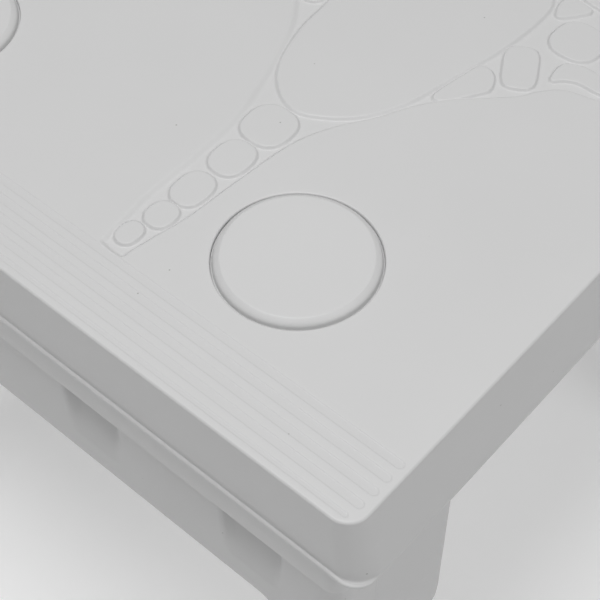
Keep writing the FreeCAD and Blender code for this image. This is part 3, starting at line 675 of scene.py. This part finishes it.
for corner in CORNERS:
    x, y, _ = cap_centre[corner]
    rings = turned(x, y, cap_profile, CAP_COUNT)
    last = (len(cap_profile) - 1) * CAP_COUNT
    groups = [ring_faces(len(cap_profile), CAP_COUNT), np.arange(CAP_COUNT)[None, :],
              np.arange(last, last + CAP_COUNT)[None, :]]
    make_piece("round_cap_" + corner, rings, [face for group in groups for face in group.tolist()],
               cap_plastic, "cap_plastic", ["well_cap_" + corner])

# %% [markdown]
# A leg frame is one blown hollow shape: two legs and the apron between them, a wide knee behind each leg's top,
# two ears that carry the bolts, and four finger pockets in its face. It has no sharp edge and its parts flow
# into each other, so it is given as a distance: a function that says how far any point is from the surface.
# Rounded joins and cuts are then one line each. A grid of that function is turned to faces by surface nets:
# one point in each cell the surface passes through, and a quad round each grid edge that it crosses.

# %% Distance functions
def round_both(a, b, radius):
    """What two solids share, with the edge between them rounded by that radius."""
    a, b = a + radius, b + radius
    return np.minimum(np.maximum(a, b), 0.0) + np.hypot(np.maximum(a, 0.0), np.maximum(b, 0.0)) - radius


def joined(a, b, blend):
    """Two solids as one, with a soft fillet about as wide as blend where they meet."""
    share = np.clip(0.5 + 0.5 * (b - a) / blend, 0.0, 1.0)
    return b * (1 - share) + a * share - blend * share * (1 - share)


def cut_from(solid, tool, blend):
    """A solid with a tool taken out of it and the rim of the cut softened."""
    return -joined(-solid, tool, blend)


def box2(x, y, low, high, radius):
    """Distance to a rounded rectangle: beyond its shrunk sides, less the radius."""
    middle, half = (np.array(low) + high) / 2, (np.array(high) - low) / 2 - radius
    over_x, over_y = np.abs(x - middle[0]) - half[0], np.abs(y - middle[1]) - half[1]
    return (np.hypot(np.maximum(over_x, 0.0), np.maximum(over_y, 0.0))
            + np.minimum(np.maximum(over_x, over_y), 0.0) - radius)


def polygon(x, y, corners):
    """Distance to a polygon: the least to its sides, negative inside, where an odd number of sides is crossed."""
    best, odd = None, False
    for (ax, ay), (bx, by) in zip(corners, np.roll(corners, -1, axis=0)):
        dx, dy, run_x, run_y = x - ax, y - ay, bx - ax, by - ay
        share = np.clip((dx * run_x + dy * run_y) / (run_x ** 2 + run_y ** 2), 0.0, 1.0)
        gap = np.hypot(dx - share * run_x, dy - share * run_y)
        best = gap if best is None else np.minimum(best, gap)
        odd = odd ^ (((ay > y) != (by > y)) & (dx < dy * run_x / (run_y if run_y else 1.0)))
    return np.where(odd, -best, best)


def eased_corners(corners, reaches):
    """A polygon whose corner of a given reach becomes a curve: the quadratic from that far before the corner,
    pulled by the corner, to that far after it."""
    p = np.asarray(corners, float)
    t = np.linspace(0.0, 1.0, 9)[:, None]
    done = []
    for before, corner, after, reach in zip(np.roll(p, 1, axis=0), p, np.roll(p, -1, axis=0), reaches):
        if not reach:
            done.append(corner[None, :])
            continue
        start = corner + (before - corner) / np.hypot(*(before - corner)) * reach
        end = corner + (after - corner) / np.hypot(*(after - corner)) * reach
        done.append((1 - t) ** 2 * start + 2 * t * (1 - t) * corner + t ** 2 * end)
    return np.vstack(done)


def surface_net(distance, low, high, step):
    """Points and quads of the surface where a distance is zero. Each cell that it passes through has one point,
    first at the cell's middle, then moved down the distance's slope until it lies on the surface."""
    axes = [np.arange(a - step, b + 2 * step, step) for a, b in zip(low, high)]
    x, y, z = np.ix_(*axes)
    inside = distance(x, y, z) < 0.0
    corners = [inside[i:inside.shape[0] - 1 + i, j:inside.shape[1] - 1 + j, k:inside.shape[2] - 1 + k]
               for i in (0, 1) for j in (0, 1) for k in (0, 1)]
    mixed = np.logical_or.reduce(corners) & ~np.logical_and.reduce(corners)
    number = np.full(mixed.shape, -1)
    number[mixed] = np.arange(mixed.sum())
    cell = np.argwhere(mixed)
    point = np.stack([axes[k][cell[:, k]] + step / 2 for k in range(3)], axis=1)
    faces = []
    for k in range(3):
        i, j = [other for other in range(3) if other != k]
        first = np.moveaxis(inside, [i, j, k], [0, 1, 2])
        cells = np.moveaxis(number, [i, j, k], [0, 1, 2])
        leaves = first[1:-1, 1:-1, :-1] & ~first[1:-1, 1:-1, 1:]
        enters = ~first[1:-1, 1:-1, :-1] & first[1:-1, 1:-1, 1:]
        for crossing, ahead in ((leaves, k != 1), (enters, k == 1)):
            a, b, c = np.nonzero(crossing)
            quad = np.stack([cells[a, b, c], cells[a + 1, b, c], cells[a + 1, b + 1, c], cells[a, b + 1, c]], axis=1)
            faces.append(quad if ahead else quad[:, ::-1])
    for _ in range(6):
        slope = gradient(distance, point)
        value = distance(*point.T)
        point = point - slope * np.clip(value, -step / 2, step / 2)[:, None]
    return point, np.vstack(faces), gradient(distance, point)


def gradient(distance, point):
    """The unit direction in which a distance grows fastest, from values a twentieth of a millimetre apart."""
    e = 0.05
    rise = np.stack([distance(*(point + e * axis).T) - distance(*(point - e * axis).T) for axis in np.eye(3)], axis=1)
    return rise / np.maximum(np.linalg.norm(rise, axis=1), 1e-9)[:, None]


# %% [markdown]
# The front frame is worked out from its packed box, and the rear one is the same points turned half round.
# Each finger pocket is a ramp in side view, deepest at its top and running out to the face. It is
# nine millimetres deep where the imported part's is twenty, which leaves more of its floor open to the light.

# %% Leg frames
frame_low, frame_high = box_mm("front_leg_frame")
OUT_X, FRONT_Y, FOOT_END = frame_high[0], frame_low[1], frame_low[2]
APRON_Z, APRON_BACK = 254.0, FRONT_Y + 46.0
KNEE_BACK, KNEE_Z, SHIN_Z = FRONT_Y + 74.0, 203.0, 175.0
ANKLE_Z, ANKLE_BACK = 26.0, FRONT_Y + 40.0
SOFT = 3.0
EAR_Z, BOSS_RADIUS, BOSS_TOP = 286.0, 29.0, frame_high[2]
WELL_X, WELL_Y = abs(cap_centre["front_left"][0]), cap_centre["front_left"][1]
NEST_TOP, NEST_FLATS = 309.7, 6.7
POCKET_X, POCKET_HALF, POCKET_LOW, POCKET_HIGH = (52.3, 145.4), 15.5, 276.0, 313.0
POCKET_SLOPE, POCKET_ROUND = 0.24, 5.0
opening = eased_corners([(-OUT_X + 30, -60), (-OUT_X + 30, ANKLE_Z), (-OUT_X + 32, APRON_Z), (OUT_X - 32, APRON_Z),
                         (OUT_X - 30, ANKLE_Z), (OUT_X - 30, -60)], [0, 0, 17, 17, 0, 0])
leg_side = eased_corners([(-260, 400), (KNEE_BACK, 400), (KNEE_BACK, KNEE_Z), (APRON_BACK, SHIN_Z),
                          (ANKLE_BACK, ANKLE_Z), (ANKLE_BACK, -60), (-260, -60)], [0, 0, 8, 16, 6, 0, 0])
ear_plan = eased_corners([(76.9, -175), (76.9, -92.2), (106.9, -92.2), (178.5, -124), (178.5, -175)],
                         [0, 14, 10, 6, 0])


def frame_distance(x, y, z):
    """Distance to the front leg frame, for x, y and z in millimetres."""
    side = np.abs(x)
    outline = round_both(box2(x, z, (-OUT_X, FOOT_END), (OUT_X, UNDERSIDE), 2.0), -polygon(x, z, opening), SOFT)
    knee = round_both(polygon(y, z, leg_side), OUT_X - 32.0 - side, 4.0)
    back = joined(y - APRON_BACK, knee, 8.0)
    plan = box2(x, y, (-OUT_X, FRONT_Y), (OUT_X, 0.0), 8.0)
    shape = round_both(round_both(outline, back, SOFT), plan, SOFT)
    ear = round_both(polygon(side, y, ear_plan), np.abs(z - (EAR_Z + UNDERSIDE) / 2) - (UNDERSIDE - EAR_Z) / 2, SOFT)
    shape = np.maximum(joined(shape, ear, 7.0), z - UNDERSIDE)
    from_bolt = np.hypot(side - WELL_X, y - WELL_Y)
    boss = round_both(from_bolt - BOSS_RADIUS, np.maximum(z - BOSS_TOP, EAR_Z + 6.0 - z), 1.2)
    shape = np.minimum(shape, boss)
    nest = np.maximum.reduce(np.broadcast_arrays(
        *[np.abs((side - WELL_X) * math.cos(a) + (y - WELL_Y) * math.sin(a)) - NEST_FLATS
          for a in np.radians([30.0, 90.0, 150.0])], z - NEST_TOP))
    shape = cut_from(shape, np.minimum(nest, from_bolt - BOLT_HOLE), 1.0)
    for middle in POCKET_X:
        mouth = box2(side - middle, z, (-POCKET_HALF, POCKET_LOW - 6.0), (POCKET_HALF, POCKET_HIGH), POCKET_ROUND)
        ramp = ((y - FRONT_Y) - POCKET_SLOPE * (z - POCKET_LOW)) / math.hypot(1.0, POCKET_SLOPE)
        shape = cut_from(shape, round_both(mouth, ramp, POCKET_ROUND), 2.5)
    return shape


frame_points, frame_faces, frame_normals = surface_net(frame_distance, frame_low, frame_high, 2.0)
HALF_TURN = np.array([-1.0, -1.0, 1.0])
for name, node, turn in (("front_legs", "front_leg_frame", 1.0), ("rear_legs", "rear_leg_frame", HALF_TURN)):
    make_piece(name, frame_points * turn, frame_faces.tolist(), leg_plastic, "frame_plastic", [node],
               frame_normals * turn)

# %% [markdown]
# Each leg stands in a moulded rubber shoe. Grooves run round it to give the shoe some stretch, and three
# more cross its sole to grip a wet floor. It is made the way the frames are, on a finer grid.

# %% Rubber feet
foot_material, foot_tree, foot_shader = new_material("moulded_rubber_feet", "6E6E6D", Roughness=0.72, IOR=1.52)
foot_where = add(foot_tree, "ShaderNodeTexCoord").outputs["Object"]
foot_drift = add(foot_tree, "ShaderNodeTexNoise", {"Scale": per_mm(14.0), "Detail": 3.0}, {"Vector": foot_where})
foot_cloud = add(foot_tree, "ShaderNodeMix", {6: linear("666665"), 7: linear("777776")},
                 {0: foot_drift.outputs["Fac"]}, data_type="RGBA")
foot_tree.links.new(foot_cloud.outputs[2], foot_shader.inputs["Base Color"])
foot_grain = add(foot_tree, "ShaderNodeTexNoise", {"Scale": per_mm(0.6), "Detail": 2.0}, {"Vector": foot_where})
foot_bump = add(foot_tree, "ShaderNodeBump", {"Strength": 0.6, "Distance": 0.00008},
                {"Height": foot_grain.outputs["Fac"]})
foot_tree.links.new(foot_bump.outputs["Normal"], foot_shader.inputs["Normal"])

foot_low, foot_high = box_mm("foot_front_right")
foot_half = (foot_high - foot_low) / 2
FOOT_WALL, FOOT_BASE = 3.0, 6.0
RING_DEPTH, RING_WIDTH, RING_HEIGHTS = 0.8, 0.9, (8.5, 12.5, 16.5)


def foot_distance(x, y, z):
    """Distance to a foot whose middle is at x = 0 and y = 0."""
    half = foot_half[:2]
    grooves = RING_DEPTH * sum(np.exp(-((z - height) / RING_WIDTH) ** 2) for height in RING_HEIGHTS)
    outer = round_both(box2(x, y, -half, half, 6.0) + grooves,
                       np.abs(z - foot_high[2] / 2) - foot_high[2] / 2, 1.6)
    inner = np.maximum(box2(x, y, -half + FOOT_WALL, half - FOOT_WALL, 3.0), FOOT_BASE - z)
    shape = cut_from(outer, inner, 1.0)
    for groove in (-8.0, 0.0, 8.0):
        shape = cut_from(shape, np.maximum(np.abs(y - groove) - 1.0, z - 1.5), 0.5)
    return shape


foot_points, foot_faces, foot_normals = surface_net(
    foot_distance, [-foot_half[0], -foot_half[1], 0.0], [foot_half[0], foot_half[1], foot_high[2]], 1.0)
for corner in CORNERS:
    low, high = box_mm("foot_" + corner)
    place = (low + high) / 2 * [1, 1, 0]
    make_piece("rubber_foot_" + corner, foot_points + place, foot_faces.tolist(), foot_material, "foot_rubber",
               ["foot_" + corner], foot_normals)

# %% [markdown]
# The bolts, washers and nuts stay as packed. They are stainless steel, turned and then left as machined, so
# their polish is fine and slightly streaked round the shank, and they mirror the plastic around them softly.

# %% Stainless hardware
steel, steel_tree, steel_shader = new_material("turned_stainless_steel", "B9B7B2", Metallic=1.0, Roughness=0.28)
steel_where = add(steel_tree, "ShaderNodeTexCoord").outputs["Object"]
steel_space = add(steel_tree, "ShaderNodeMapping", {"Scale": (1.0, 1.0, 6.0)}, {"Vector": steel_where})
steel_lines = add(steel_tree, "ShaderNodeTexNoise", {"Scale": per_mm(1.2), "Detail": 3.0},
                  {"Vector": steel_space.outputs["Vector"]})
steel_rough = add(steel_tree, "ShaderNodeMapRange", {"To Min": 0.2, "To Max": 0.4},
                  {"Value": steel_lines.outputs["Fac"]})
steel_tree.links.new(steel_rough.outputs["Result"], steel_shader.inputs["Roughness"])
steel_bump = add(steel_tree, "ShaderNodeBump", {"Strength": 0.3, "Distance": 0.00003},
                 {"Height": steel_lines.outputs["Fac"]})
steel_tree.links.new(steel_bump.outputs["Normal"], steel_shader.inputs["Normal"])
for node_name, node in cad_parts.items():
    if node_name.startswith("bolt_") or node_name.startswith("deck_bolt_"):
        for holder in node.material_slots:
            holder.material = steel
print("steel on:", sum(name.startswith(("bolt_", "deck_bolt_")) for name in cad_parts), "packed parts")
